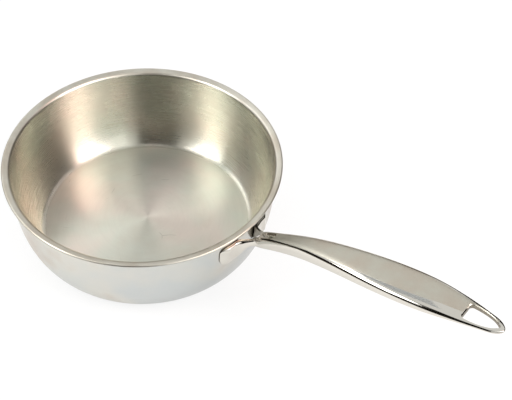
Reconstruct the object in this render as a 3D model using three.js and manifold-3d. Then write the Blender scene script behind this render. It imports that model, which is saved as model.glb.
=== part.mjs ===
// Deep frying pan: a pressed clad body with a flared lip and a cast, forked handle welded to its wall.
// Millimetres, +Z up. The origin is the centre of the base's underside, and the handle lies along +X.
import * as THREE from "three";
import { mergeVertices } from "three/addons/utils/BufferGeometryUtils.js";
import Module from "manifold-3d";

// Pan body
const LIP_RADIUS = 115; // to the outermost edge of the lip
const BODY_HEIGHT = 77; // from the surface that the pan stands on to the top of the lip
const LIP_WIDTH = 7; // from the wall's inside, below the lip, to the lip's outermost edge
const WALL_SPREAD = 19.8; // from the edge of the flat floor to the wall's inside below the lip
const CORNER_RADIUS = 6.5; // inside corner between floor and wall
const BEND_RADIUS = 3.7; // top face of the bend between wall and lip
const WALL_FOOT_LEAN = THREE.MathUtils.degToRad(41.9); // of the wall from upright, above the corner
const WALL_HEAD_LEAN = THREE.MathUtils.degToRad(2.4); // of the wall from upright, below the lip
const LIP_SLOPE = THREE.MathUtils.degToRad(16); // of the lip above level

// Clad sheet, from the inside out
const LINER_THICKNESS = 0.5;
const CORE_THICKNESS = 1.4;
const SKIN_THICKNESS = 0.5;
const BOND_CLEARANCE = 0.01; // between the core and its neighbours, so that their facets only meet

// Handle foot: two curved pads that lie against the wall
const SEAT_GAP = 0.3; // between the wall and the pads, which the welds bridge
const FOOT_THICKNESS = 2.9;
const FOOT_HEIGHT = 17.5;
const FOOT_END_LENGTH = 6; // over which each pad's tip rounds off
const FOOT_SPAN = 59; // across both pads, tip to tip
const FOOT_DROP = 10.8; // from the top of the lip to the top of the pads

// Fork: two arms that run from the neck to the pads
const FORK_DEPTH = 15.6; // from the wall to the round end of the gap between the arms
const FORK_GAP = 17.6; // between the arms at the wall
const CROTCH_RADIUS = 1.9; // of the gap's round end
const FLARE_WIDTH = 38; // across both arms at the wall, where they have run out into the pads
const NECK_LIFT = 3.6; // from the top of the pads to the widest line of the neck's root

// Grip
const HANDLE_LENGTH = 205; // from the lip to the tip
const GRIP_RISE = 60.3; // of the grip's widest line, from the neck's root to the tip
const GRIP_WIDTH = 30.8;
const GRIP_DEPTH = 12.3;
const NOSE_LENGTH = 9; // over which the tip rounds off
const SCOOP_LENGTH = 19; // hollow in the neck's top, behind the fork
const SCOOP_WIDTH = 10.4;
const SCOOP_DEPTH = 2;

// Hang hole in the tip
const HOLE_SETBACK = 27.4; // from the tip back to the hole's straight side
const HOLE_LENGTH = 24.4;
const HOLE_WIDTH = 13.8;
const HOLE_CORNER_RADIUS = 2.4;
const HOLE_TIP_RADIUS = 2;
const HOLE_CHAMFER = 0.7;

// Welds between the pads and the wall
const WELD_DIAMETER = 5;
const WELD_CLEARANCE = 0.02; // left at both ends of a weld, so that it only meets its neighbours

// The grip along its length, as shares of its length, rise, width and depth.
const GRIP_SHARES = [
  { along: 0, rise: 0, width: 0.42, depth: 0.7 },
  { along: 0.101, rise: 0.194, width: 0.468, depth: 0.74 },
  { along: 0.223, rise: 0.389, width: 0.617, depth: 0.89 },
  { along: 0.37, rise: 0.553, width: 0.818, depth: 0.99 },
  { along: 0.541, rise: 0.699, width: 0.994, depth: 1 },
  { along: 0.712, rise: 0.828, width: 0.987, depth: 0.88 },
  { along: 0.849, rise: 0.925, width: 0.753, depth: 0.5 },
  { along: 0.942, rise: 0.974, width: 0.505, depth: 0.33 },
  { along: 1, rise: 1, width: 0.36, depth: 0.28 },
];
const CROWN_SHARE = 0.47; // of the grip's depth, above its widest line
const CROWN_POWER = 3.4; // of the oval above that line: 2 is an ellipse, and more is squarer
const BELLY_POWER = 2.5; // of the oval below it

// An arm from the neck to the wall, as shares of its length, of the spread of its inner and outer
// faces, and of the drop of its top and bottom edges.
const ARM_SHARES = [
  { along: 0, inner: 0, outer: 0, top: 0, bottom: 0 },
  { along: 0.08, inner: 0.12, outer: 0.02, top: 0.14, bottom: 0.01 },
  { along: 0.27, inner: 0.37, outer: 0.1, top: 0.45, bottom: 0.08 },
  { along: 0.47, inner: 0.58, outer: 0.2, top: 0.68, bottom: 0.24 },
  { along: 0.66, inner: 0.76, outer: 0.33, top: 0.86, bottom: 0.52 },
  { along: 0.8, inner: 0.9, outer: 0.49, top: 0.95, bottom: 0.79 },
  { along: 1, inner: 1, outer: 1, top: 1, bottom: 1 },
];
const ARM_POWER = 3; // of an arm's oval, a rounded bar
const BURIED_SHARE = 0.5; // of an arm's section, at its end inside the grip
const PAD_POWER = 5; // of a pad's section, a plate with rounded edges
const PAD_TIP_POWER = 0.4; // of the thinning of a pad towards its round tip
const SCOOP_DIP_SHARE = 0.3; // of the scooping ball's half height, below the neck's top
const WELD_SHARES = [0.5, 0.8]; // of the way round the wall to a pad's tip

// Facets
const BODY_SIDES = 60;
const WALL_STEPS = 6;
const CORNER_STEPS = 2;
const BEND_STEPS = 3;
const EDGE_STEPS = 2;
const GRIP_STEPS = 32;
const GRIP_SIDES = 28;
const ARM_STEPS = 9;
const ARM_SIDES = 24;
const PAD_TIP_STEPS = 6;
const PAD_STEPS = 3;
const HOLE_CURVE_STEPS = 5;
const CROTCH_SIDES = 24;
const SCOOP_SIDES = 20;
const WELD_SIDES = 16;

const MERGE_DISTANCE = 0.0001; // within which two points are one
const OVERRUN = 5; // by which a cutter or a buried end passes the face that it meets

const SHEET = LINER_THICKNESS + CORE_THICKNESS + SKIN_THICKNESS;
const wallRadius = LIP_RADIUS - LIP_WIDTH;
const floorRadius = wallRadius - WALL_SPREAD;
const footTop = BODY_HEIGHT - FOOT_DROP;
const footMiddle = footTop - FOOT_HEIGHT / 2;
const outerWallRadius = wallRadius + SHEET;
const neckRoot = outerWallRadius + FORK_DEPTH - CROTCH_RADIUS; // from the pan's axis
const handleReach = LIP_RADIUS + HANDLE_LENGTH;
const gripLength = handleReach - neckRoot;

const wasm = await Module();
wasm.setup();

function solidOf(geometry) {
  const bare = geometry.clone();
  bare.deleteAttribute("normal");
  bare.deleteAttribute("uv");
  const merged = mergeVertices(bare, MERGE_DISTANCE);
  return new wasm.Manifold(
    new wasm.Mesh({
      numProp: 3,
      vertProperties: merged.attributes.position.array,
      triVerts: new Uint32Array(merged.index.array),
    }),
  );
}

function geometryOf(solid) {
  const mesh = solid.getMesh();
  const indexed = new THREE.BufferGeometry();
  indexed.setAttribute("position", new THREE.BufferAttribute(mesh.vertProperties, 3));
  indexed.setIndex(new THREE.BufferAttribute(mesh.triVerts, 1));
  const faceted = indexed.toNonIndexed();
  faceted.computeVertexNormals();
  return faceted;
}

function namedMesh(name, geometry, color, roughness) {
  const material = new THREE.MeshStandardMaterial({ color, roughness, metalness: 1 });
  const mesh = new THREE.Mesh(geometry, material);
  mesh.name = name;
  return mesh;
}

// Turns a closed radius and height outline round the pan's upright axis.
function turned(outline) {
  const step = (2 * Math.PI) / BODY_SIDES;
  return new THREE.LatheGeometry(outline, BODY_SIDES, step / 2).rotateX(Math.PI / 2);
}

// Skins a row of rings that have the same number of points, with a fan on each end.
function lofted(rings) {
  const sides = rings[0].length;
  const points = [...rings.flat(), centreOf(rings[0]), centreOf(rings.at(-1))];
  const firstCentre = points.length - 2;
  const lastCentre = points.length - 1;
  const lastRing = (rings.length - 1) * sides;
  const corners = [];
  for (let side = 0; side < sides; side += 1) {
    const next = (side + 1) % sides;
    corners.push(firstCentre, next, side);
    corners.push(lastCentre, lastRing + side, lastRing + next);
    for (let ring = 0; ring < lastRing; ring += sides) {
      corners.push(ring + side, ring + next, ring + sides + next);
      corners.push(ring + side, ring + sides + next, ring + sides + side);
    }
  }
  return new THREE.BufferGeometry().setFromPoints(points).setIndex(corners);
}

function centreOf(ring) {
  return ring.reduce((sum, point) => sum.add(point), new THREE.Vector3()).divideScalar(ring.length);
}

// The same piece on the other side of the handle, with its faces turned out again.
function mirrored(geometry) {
  const other = geometry.clone().scale(1, -1, 1);
  const corners = Array.from(other.index.array);
  return other.setIndex(corners.reverse());
}

// A point of a squared oval, at an angle from its widest line.
function ovalPoint(angle, halfWidth, halfHeight, power) {
  const squared = (value) => Math.sign(value) * Math.abs(value) ** (2 / power);
  return new THREE.Vector2(
    halfWidth * squared(Math.cos(angle)),
    halfHeight * squared(Math.sin(angle)),
  );
}

// A smooth curve through one column of a table of shares, over another column.
function shareCurve(rows, across, column) {
  return new THREE.SplineCurve(rows.map((row) => new THREE.Vector2(row[across], row[column])));
}

// A place on the sheet's inner face, with its heading, and the direction through the sheet.
function sheetStation(radius, height, heading) {
  return {
    point: new THREE.Vector2(radius, height),
    outward: new THREE.Vector2(Math.sin(heading), -Math.cos(heading)),
    heading,
  };
}

// Where a station lies at a depth below the sheet's inner face.
function atDepth(station, depth) {
  return station.point.clone().addScaledVector(station.outward, depth);
}

function headingVector(heading, length) {
  return new THREE.Vector2(Math.cos(heading), Math.sin(heading)).multiplyScalar(length);
}

function floorAndCorner() {
  const stations = [sheetStation(0, SHEET, 0)];
  const turn = Math.PI / 2 - WALL_FOOT_LEAN;
  for (let step = 0; step <= CORNER_STEPS; step += 1) {
    const heading = (turn * step) / CORNER_STEPS;
    const radius = floorRadius + CORNER_RADIUS * Math.sin(heading);
    const height = SHEET + CORNER_RADIUS * (1 - Math.cos(heading));
    stations.push(sheetStation(radius, height, heading));
  }
  return stations;
}

// The wall swells outwards from the corner and stands nearly upright under the lip.
function wallStations(foot, head) {
  const pull = foot.point.distanceTo(head.point) / 3;
  const curve = new THREE.CubicBezierCurve(
    foot.point,
    foot.point.clone().add(headingVector(foot.heading, pull)),
    head.point.clone().sub(headingVector(head.heading, pull)),
    head.point,
  );
  const stations = [];
  for (let step = 1; step < WALL_STEPS; step += 1) {
    const share = step / WALL_STEPS;
    const place = curve.getPoint(share);
    stations.push(sheetStation(place.x, place.y, curve.getTangent(share).angle()));
  }
  return stations;
}

// The sheet rolls over from the wall into a straight, gently rising lip.
function bendAndLip() {
  const start = Math.PI / 2 - WALL_HEAD_LEAN;
  const edgeRadius = SHEET / 2;
  const lipEnd = sheetStation(
    LIP_RADIUS - edgeRadius * (1 + Math.sin(LIP_SLOPE)),
    BODY_HEIGHT - edgeRadius * (1 - Math.cos(LIP_SLOPE)),
    LIP_SLOPE,
  );
  const bendPoint = (heading) =>
    new THREE.Vector2(Math.sin(start) - Math.sin(heading), Math.cos(heading) - Math.cos(start))
      .multiplyScalar(BEND_RADIUS);
  const bendSize = bendPoint(LIP_SLOPE);
  const lipWidth = lipEnd.point.x - wallRadius - bendSize.x;
  const wallHead = lipEnd.point.y - lipWidth * Math.tan(LIP_SLOPE) - bendSize.y;
  const stations = [];
  for (let step = 0; step <= BEND_STEPS; step += 1) {
    const heading = start + ((LIP_SLOPE - start) * step) / BEND_STEPS;
    const place = bendPoint(heading);
    stations.push(sheetStation(wallRadius + place.x, wallHead + place.y, heading));
  }
  return [...stations, lipEnd];
}

const lowerStations = floorAndCorner();
const upperStations = bendAndLip();
const wallFoot = lowerStations.at(-1);
const wallHead = upperStations[0];
const wall = [wallFoot, ...wallStations(wallFoot, wallHead), wallHead];
const sheet = [...lowerStations, ...wall.slice(1, -1), ...upperStations];
const lipEnd = sheet.at(-1);
const coreEnd = sheet.at(-2); // past this, liner and skin meet and seal the core in

// A line through the whole sheet at one depth, from the axis to the end of the core.
function layerLine(depth) {
  return sheet.slice(0, -1).map((station) => atDepth(station, depth));
}

// Part of the lip's half-round edge. Angles run from its top, over the rim, to its underside.
function rimArc(fromAngle, toAngle) {
  const centre = atDepth(lipEnd, SHEET / 2);
  const points = [];
  for (let step = 0; step <= EDGE_STEPS; step += 1) {
    const angle = fromAngle + ((toAngle - fromAngle) * step) / EDGE_STEPS;
    points.push(centre.clone().add(headingVector(LIP_SLOPE + Math.PI / 2 - angle, SHEET / 2)));
  }
  return points;
}

function linerGeometry() {
  const face = layerLine(0);
  const back = layerLine(LINER_THICKNESS);
  const rim = rimArc(Math.PI / 2, 0);
  const seal = atDepth(coreEnd, SHEET / 2 - BOND_CLEARANCE);
  return turned([...back, seal, ...rim, ...face.reverse()]);
}

function coreGeometry() {
  const face = layerLine(LINER_THICKNESS + BOND_CLEARANCE);
  const back = layerLine(LINER_THICKNESS + CORE_THICKNESS - BOND_CLEARANCE);
  const drawnBack = headingVector(coreEnd.heading, BOND_CLEARANCE);
  face.at(-1).sub(drawnBack);
  back.at(-1).sub(drawnBack);
  return turned([...back, ...face.reverse()]);
}

function skinGeometry() {
  const face = layerLine(LINER_THICKNESS + CORE_THICKNESS);
  const back = layerLine(SHEET);
  const rim = rimArc(Math.PI, Math.PI / 2);
  const seal = atDepth(coreEnd, SHEET / 2 + BOND_CLEARANCE);
  return turned([...back, ...rim, seal, ...face.reverse()]);
}

// The wall's outside, moved out by a distance.
function besideWall(distance) {
  return wall.map((station) => atDepth(station, SHEET + distance));
}

function wallOutsideAt(height) {
  const line = besideWall(0);
  const above = line.findIndex((point) => point.y > height);
  const share = (height - line[above - 1].y) / (line[above].y - line[above - 1].y);
  return THREE.MathUtils.lerp(line[above - 1].x, line[above].x, share);
}

// Everything inside the seat of the pads.
function seatCutter() {
  const line = besideWall(SEAT_GAP);
  const foot = new THREE.Vector2(0, line[0].y);
  const head = new THREE.Vector2(0, line.at(-1).y);
  return solidOf(turned([foot, ...line, head]));
}

const gripRises = shareCurve(GRIP_SHARES, "along", "rise");
const gripSizes = shareCurve(GRIP_SHARES, "width", "depth");

// Where the grip's widest line is, and its tangent, upright and section, at a share of the table.
function gripStation(share) {
  const place = gripRises.getPoint(share);
  const slope = gripRises.getTangent(share);
  const size = gripSizes.getPoint(share);
  const tangent = new THREE.Vector3(slope.x * gripLength, 0, slope.y * GRIP_RISE).normalize();
  return {
    centre: new THREE.Vector3(
      neckRoot + place.x * gripLength,
      0,
      footTop + NECK_LIFT + place.y * GRIP_RISE,
    ),
    tangent,
    upward: new THREE.Vector3(-tangent.z, 0, tangent.x),
    halfWidth: (GRIP_WIDTH / 2) * size.x,
    depth: GRIP_DEPTH * size.y,
  };
}

// A flattened oval across the grip, drawn in towards the tip.
function gripRing(share) {
  const { centre, upward, halfWidth, depth } = gripStation(share);
  const intoNose = Math.max(0, (centre.x + NOSE_LENGTH - handleReach) / NOSE_LENGTH);
  const rounding = Math.sqrt(Math.max(0, 1 - intoNose ** 2));
  const ring = [];
  for (let side = 0; side < GRIP_SIDES; side += 1) {
    const angle = (2 * Math.PI * side) / GRIP_SIDES;
    const above = side < GRIP_SIDES / 2;
    const halfHeight = depth * (above ? CROWN_SHARE : 1 - CROWN_SHARE) * Math.sqrt(rounding);
    const power = above ? CROWN_POWER : BELLY_POWER;
    const oval = ovalPoint(angle, halfWidth * rounding, halfHeight, power);
    ring.push(centre.clone().addScaledVector(upward, oval.y).add(new THREE.Vector3(0, oval.x, 0)));
  }
  return ring;
}

// The grip rises steeply from the neck, swells, levels out and tapers to a rounded tip.
function gripSolid() {
  const rings = [];
  for (let step = 0; step < GRIP_STEPS; step += 1) {
    rings.push(gripRing(Math.sin((Math.PI * step) / (2 * GRIP_STEPS))));
  }
  return solidOf(lofted(rings));
}

// An upright rounded bar across one arm, at a share of its table.
function armRing(share) {
  const root = gripStation(0);
  const neckTop = root.centre.z + root.depth * CROWN_SHARE;
  const neckBottom = neckTop - root.depth;
  const column = (name) => shareCurve(ARM_SHARES, "along", name).getPoint(share);
  const inner = THREE.MathUtils.lerp(CROTCH_RADIUS, FORK_GAP / 2, column("inner").y);
  const outer = THREE.MathUtils.lerp(root.halfWidth, FLARE_WIDTH / 2, column("outer").y);
  const top = THREE.MathUtils.lerp(neckTop, footTop, column("top").y);
  const bottom = THREE.MathUtils.lerp(neckBottom, footTop - FOOT_HEIGHT, column("bottom").y);
  const along = THREE.MathUtils.lerp(neckRoot, outerWallRadius, column("inner").x);
  const ring = [];
  for (let side = 0; side < ARM_SIDES; side += 1) {
    const angle = (2 * Math.PI * side) / ARM_SIDES;
    const oval = ovalPoint(angle, (outer - inner) / 2, (top - bottom) / 2, ARM_POWER);
    ring.push(new THREE.Vector3(along, (outer + inner) / 2 + oval.x, (top + bottom) / 2 + oval.y));
  }
  return ring;
}

// One arm, from inside the wall, where the seat cuts it off, to its buried end in the grip.
function armGeometry() {
  const rings = [];
  for (let step = ARM_STEPS; step >= 0; step -= 1) {
    rings.push(armRing(step / ARM_STEPS));
  }
  const wallEnd = rings[0].map((point) => point.clone().setX(point.x - OVERRUN));
  const neckEnd = rings.at(-1);
  const neckCentre = centreOf(neckEnd);
  const buriedEnd = neckEnd.map((point) =>
    point.clone().lerp(neckCentre, BURIED_SHARE).addScaledVector(gripStation(0).tangent, OVERRUN),
  );
  return lofted([wallEnd, ...rings, buriedEnd]);
}

// An upright plate section against the wall, with rounded edges, at an angle round the pan.
function padRing(angle, halfHeight, thickness) {
  const ring = [];
  for (let side = 0; side < ARM_SIDES; side += 1) {
    const oval = ovalPoint((2 * Math.PI * side) / ARM_SIDES, thickness, halfHeight, PAD_POWER);
    const height = footMiddle + oval.y;
    const radius = wallOutsideAt(height) + SEAT_GAP + oval.x;
    ring.push(new THREE.Vector3(radius * Math.cos(angle), radius * Math.sin(angle), height));
  }
  return ring;
}

// One pad, from its round tip to where the arm runs into it.
function padGeometry() {
  const faceRadius = outerWallRadius + SEAT_GAP + FOOT_THICKNESS;
  const tipAngle = Math.asin(FOOT_SPAN / 2 / faceRadius);
  const rings = [];
  for (let step = 1; step <= PAD_TIP_STEPS; step += 1) {
    const turn = (Math.PI * step) / (2 * PAD_TIP_STEPS);
    const angle = tipAngle - (FOOT_END_LENGTH * (1 - Math.cos(turn))) / faceRadius;
    const swell = Math.sin(turn);
    rings.push(padRing(angle, (FOOT_HEIGHT / 2) * swell, FOOT_THICKNESS * swell ** PAD_TIP_POWER));
  }
  const startAngle = tipAngle - FOOT_END_LENGTH / faceRadius;
  const endAngle = Math.asin((FORK_GAP + FLARE_WIDTH) / 4 / faceRadius);
  for (let step = 1; step <= PAD_STEPS; step += 1) {
    const angle = THREE.MathUtils.lerp(startAngle, endAngle, step / PAD_STEPS);
    rings.push(padRing(angle, FOOT_HEIGHT / 2, FOOT_THICKNESS));
  }
  return lofted(rings);
}

// An upright pin that rounds the end of the gap between the arms.
function crotchCutter() {
  const height = FOOT_HEIGHT + GRIP_DEPTH;
  const pin = new THREE.CylinderGeometry(CROTCH_RADIUS, CROTCH_RADIUS, height, CROTCH_SIDES);
  pin.rotateX(Math.PI / 2);
  return solidOf(pin.translate(neckRoot, 0, footTop));
}

// A flattened ball that hollows the top of the neck just behind the fork.
function scoopCutter() {
  const root = gripStation(0);
  const cut = Math.sqrt(1 - (1 - SCOOP_DIP_SHARE) ** 2); // half width of a unit ball's dipped cap
  const halfHeight = SCOOP_DEPTH / SCOOP_DIP_SHARE;
  const ball = new THREE.SphereGeometry(1, SCOOP_SIDES, SCOOP_SIDES / 2);
  ball.scale(SCOOP_LENGTH / 2 / cut, SCOOP_WIDTH / 2 / cut, halfHeight);
  ball.rotateY(-Math.asin(root.tangent.z));
  const neckTop = root.centre.clone().addScaledVector(root.upward, root.depth * CROWN_SHARE);
  const middle = neckTop.addScaledVector(root.tangent, SCOOP_LENGTH / 2 - CROTCH_RADIUS);
  middle.addScaledVector(root.upward, halfHeight - SCOOP_DEPTH);
  return solidOf(ball.translate(middle.x, middle.y, middle.z));
}

// A triangle with bulging sides: square to the grip at one end and round at the tip's end.
function holeShape() {
  const half = HOLE_WIDTH / 2;
  const corner = HOLE_CORNER_RADIUS;
  const tip = HOLE_TIP_RADIUS;
  const shape = new THREE.Shape();
  shape.moveTo(0, corner - half);
  shape.quadraticCurveTo(0, -half, corner, -half);
  shape.bezierCurveTo(HOLE_LENGTH / 3, -half, HOLE_LENGTH - 3 * tip, -3 * tip, HOLE_LENGTH - tip, -tip);
  shape.quadraticCurveTo(HOLE_LENGTH, -tip / 2, HOLE_LENGTH, 0);
  shape.quadraticCurveTo(HOLE_LENGTH, tip / 2, HOLE_LENGTH - tip, tip);
  shape.bezierCurveTo(HOLE_LENGTH - 3 * tip, 3 * tip, HOLE_LENGTH / 3, half, corner, half);
  shape.quadraticCurveTo(0, half, 0, half - corner);
  return shape;
}

// The hang hole with a chamfer round both of its rims, square to the grip's top.
function holeCutter() {
  const middleShare = shareAt(handleReach - HOLE_SETBACK + HOLE_LENGTH / 2);
  const { centre, tangent, upward, depth } = gripStation(middleShare);
  const chamfer = {
    depth: OVERRUN,
    curveSegments: HOLE_CURVE_STEPS,
    bevelThickness: HOLE_CHAMFER,
    bevelSize: HOLE_CHAMFER,
    bevelSegments: 1,
  };
  const straight = { depth: GRIP_DEPTH, curveSegments: HOLE_CURVE_STEPS, bevelEnabled: false };
  const shaft = new THREE.ExtrudeGeometry(holeShape(), straight).translate(0, 0, -GRIP_DEPTH / 2);
  const upper = new THREE.ExtrudeGeometry(holeShape(), chamfer);
  const lower = upper.clone().translate(0, 0, -OVERRUN);
  upper.translate(0, 0, depth * CROWN_SHARE);
  lower.translate(0, 0, -depth * (1 - CROWN_SHARE));
  const across = new THREE.Vector3(0, 1, 0);
  const place = new THREE.Matrix4().makeBasis(tangent, across, upward);
  place.setPosition(centre.clone().addScaledVector(tangent, -HOLE_LENGTH / 2 / tangent.x));
  const [first, ...others] = [shaft, upper, lower].map((piece) => solidOf(piece.applyMatrix4(place)));
  return others.reduce((whole, piece) => whole.add(piece), first);
}

// The share of the grip's table at which its widest line is a given way from the pan's axis.
function shareAt(reach) {
  let low = 0;
  let high = 1;
  while (high - low > MERGE_DISTANCE) {
    const middle = (low + high) / 2;
    if (gripStation(middle).centre.x < reach) low = middle;
    else high = middle;
  }
  return low;
}

function handleGeometry() {
  const arm = armGeometry();
  const pad = padGeometry();
  let handle = gripSolid();
  for (const piece of [arm, mirrored(arm), pad, mirrored(pad)]) {
    handle = handle.add(solidOf(piece));
  }
  for (const cutter of [seatCutter(), crotchCutter(), scoopCutter(), holeCutter()]) {
    handle = handle.subtract(cutter);
  }
  return geometryOf(handle);
}

// A thin collar in the gap between wall and pads, as thick as the welds are long.
function weldLayer() {
  const near = besideWall(WELD_CLEARANCE);
  const far = besideWall(SEAT_GAP - WELD_CLEARANCE);
  return solidOf(turned([...far, ...near.reverse(), far[0].clone()]));
}

// One round weld between the wall and a pad, at an angle round the pan.
function weldGeometry(angle) {
  const radius = WELD_DIAMETER / 2;
  const pin = new THREE.CylinderGeometry(radius, radius, 2 * OVERRUN, WELD_SIDES);
  pin.rotateZ(-Math.PI / 2).translate(wallOutsideAt(footMiddle), 0, footMiddle).rotateZ(angle);
  return geometryOf(solidOf(pin).intersect(weldLayer()));
}

function panBody() {
  const body = new THREE.Group();
  body.add(namedMesh("inner_steel_liner", linerGeometry(), 0xd2cdc2, 0.3));
  body.add(namedMesh("aluminium_core", coreGeometry(), 0xb9bbbd, 0.45));
  body.add(namedMesh("outer_steel_shell", skinGeometry(), 0xcfccc5, 0.15));
  return body;
}

function handleWithWelds() {
  const handle = new THREE.Group();
  handle.add(namedMesh("cast_handle", handleGeometry(), 0xc9c4ba, 0.12));
  const reach = Math.asin(FOOT_SPAN / 2 / (outerWallRadius + SEAT_GAP + FOOT_THICKNESS));
  let number = 1;
  for (const side of [-1, 1]) {
    for (const share of WELD_SHARES) {
      handle.add(namedMesh(`weld_spot_${number}`, weldGeometry(side * share * reach), 0x9b9a97, 0.5));
      number += 1;
    }
  }
  return handle;
}

const deepFryingPan = new THREE.Group();
deepFryingPan.add(panBody(), handleWithWelds());

export default deepFryingPan;
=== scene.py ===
"""A deep frying pan: a pressed clad steel body and a cast, forked steel handle welded to its wall.

Lengths are in metres, +Z is up, and the handle lies along +X from the pan's upright axis.
"""
import math

import bmesh
import bpy
from bpy.props import FloatProperty, FloatVectorProperty, IntProperty, PointerProperty
from mathutils import Matrix, Vector


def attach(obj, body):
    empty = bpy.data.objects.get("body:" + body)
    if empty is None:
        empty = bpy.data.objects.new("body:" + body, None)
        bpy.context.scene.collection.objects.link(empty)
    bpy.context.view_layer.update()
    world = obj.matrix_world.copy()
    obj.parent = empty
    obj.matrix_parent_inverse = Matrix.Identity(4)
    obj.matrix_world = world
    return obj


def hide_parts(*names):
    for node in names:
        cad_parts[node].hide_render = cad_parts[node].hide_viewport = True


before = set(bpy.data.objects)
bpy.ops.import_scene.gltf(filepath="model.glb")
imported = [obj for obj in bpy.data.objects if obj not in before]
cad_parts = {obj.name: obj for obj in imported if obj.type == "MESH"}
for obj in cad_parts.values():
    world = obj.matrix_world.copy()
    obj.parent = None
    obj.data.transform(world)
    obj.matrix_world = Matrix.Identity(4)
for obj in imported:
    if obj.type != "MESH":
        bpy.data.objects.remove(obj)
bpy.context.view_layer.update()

bl_info = {
    "name": "Deep Frying Pan",
    "version": (1, 0, 0),
    "blender": (4, 5, 0),
    "location": "3D View > Sidebar > Frying Pan",
    "description": "Builds a clad steel frying pan with a cast forked handle, its finishes and its studio",
    "category": "Add Mesh",
}

MM = 0.001

# Rows of (along, rise, width, depth, sag): shares of the grip's length, rise, width and depth, and how far
# its sides hang below the widest line, as a share of the depth there.
GRIP_SHARES = [
    (0, 0, 0.44, 0.7, 0.44),
    (0.101, 0.194, 0.485, 0.74, 0.46),
    (0.223, 0.389, 0.625, 0.89, 0.3),
    (0.37, 0.553, 0.818, 0.99, 0.13),
    (0.541, 0.699, 0.994, 1, 0),
    (0.712, 0.828, 0.987, 0.88, -0.09),
    (0.849, 0.925, 0.753, 0.5, -0.1),
    (0.942, 0.974, 0.505, 0.33, -0.08),
    (1, 1, 0.36, 0.28, 0),
]

# Rows of (share of the grip's curve, reach of the satin face to the near and to the far side), as shares
# of the half width. The near edge is ground back towards the hang hole.
SATIN_SHARES = [
    (0, 0.42, 0.1),
    (0.06, 0.5, 0.3),
    (0.12, 0.64, 0.6),
    (0.2, 0.74, 0.76),
    (0.33, 0.73, 0.76),
    (0.4, 0.71, 0.76),
    (0.46, 0.665, 0.76),
    (0.52, 0.64, 0.76),
    (0.57, 0.59, 0.76),
    (0.63, 0.5, 0.76),
    (0.68, 0.38, 0.76),
    (0.75, 0.3, 0.76),
    (1, 0.25, 0.76),
]

# Half a section of the grip, from the middle of its top round to the middle of its belly: across as a
# share of the half width, and up or down as a share of the crown or the belly.
GRIP_SECTION = [
    (0, 1),
    (0.3, 0.995),
    (0.55, 0.98),
    (0.76, 0.9),
    (0.93, 0.64),
    (1, 0.08),
    (0.965, -0.42),
    (0.83, -0.75),
    (0.58, -0.94),
    (0.28, -1),
    (0, -1),
]

# Rows of one fork arm, from the crotch to the wall, in millimetres: the inner face's place from the axis
# and from the middle plane, the outer face's likewise, then how far the inner top, inner bottom, outer
# top and outer bottom edges lie below the lip.
ARM_ROWS = [
    (122.6, 2.8, 123.3, 6.7, 4.6, 7.6, 4.6, 12.3),
    (119.8, 4.5, 120.9, 7.7, 6.9, 11, 6.5, 13.4),
    (116.9, 5.9, 118.4, 9, 8.5, 15.4, 8.2, 15.8),
    (114.1, 7.2, 116.1, 10.5, 9.9, 20.6, 9.7, 19.7),
    (112, 8.2, 114.4, 12.3, 10.6, 25.5, 10.5, 24.6),
]

# One section of an arm, from its inner bottom edge up, over and round its outer face. Each row has the
# share of the way from the inner to the outer face, two edges by number (0 inner top, 1 inner bottom,
# 2 outer top, 3 outer bottom) and the share of the height from the first edge to the second.
ARM_SECTION = [
    (0, 1, 0, 0),
    (0, 1, 0, 0.33),
    (0, 1, 0, 0.67),
    (0, 0, 2, 0),
    (0.25, 0, 2, 0.25),
    (0.46, 0, 2, 0.5),
    (0.72, 2, 3, 0.17),
    (0.94, 2, 3, 0.46),
    (1, 2, 3, 0.74),
    (0.97, 2, 3, 0.88),
    (0.84, 2, 3, 0.98),
    (0.58, 3, 1, 0.15),
    (0.28, 3, 1, 0.5),
]

# Rows of one pad, from the arm to its tip: along the back and along the front from the middle plane, then
# the height and the thickness, as shares of the pad's half span, height and thickness, and how far the
# upper part of its face is cut back, as a share of the thickness.
PAD_SHARES = [
    (0.3, 0.51, 0.985, 1, 0),
    (0.42, 0.6, 1, 1, 0),
    (0.55, 0.68, 1, 1.08, 0),
    (0.67, 0.75, 1, 1.22, 0),
    (0.77, 0.8, 1, 1.2, 0.12),
    (0.85, 0.87, 0.97, 1.02, 0.35),
    (0.92, 0.93, 0.87, 0.78, 0.52),
    (0.985, 0.985, 0.66, 0.42, 0.55),
]

# One section of a pad, from its back's bottom edge up, over and round its front: the share of the way
# through its thickness, and the height from its middle as a share of half its height.
PAD_SECTION = [
    (0, -0.98),
    (0, -0.33),
    (0, 0.33),
    (0, 0.98),
    (0.4, 1),
    (0.7, 0.97),
    (1, 0.82),
    (1.03, 0.42),
    (1.02, 0),
    (1.02, -0.5),
    (1, -0.92),
    (0.8, -0.99),
    (0.4, -1),
]


def linear(hex_colour):
    """Turns an sRGB hex colour to the linear values that Blender's colour sockets take."""
    channels = [int(hex_colour[place:place + 2], 16) / 255 for place in (1, 3, 5)]
    return [c / 12.92 if c <= 0.04045 else ((c + 0.055) / 1.055) ** 2.4 for c in channels] + [1]


def length(name, description, millimetres):
    return FloatProperty(name=name, description=description, default=millimetres * MM, unit="LENGTH")


def lean(name, description, degrees):
    turn = math.radians(degrees)
    return FloatProperty(name=name, description=description, default=turn, unit="ROTATION")


def colour(name, description, hex_colour):
    shade = linear(hex_colour)
    return FloatVectorProperty(
        name=name, description=description, default=shade, size=4, min=0, max=1, subtype="COLOR"
    )


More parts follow.
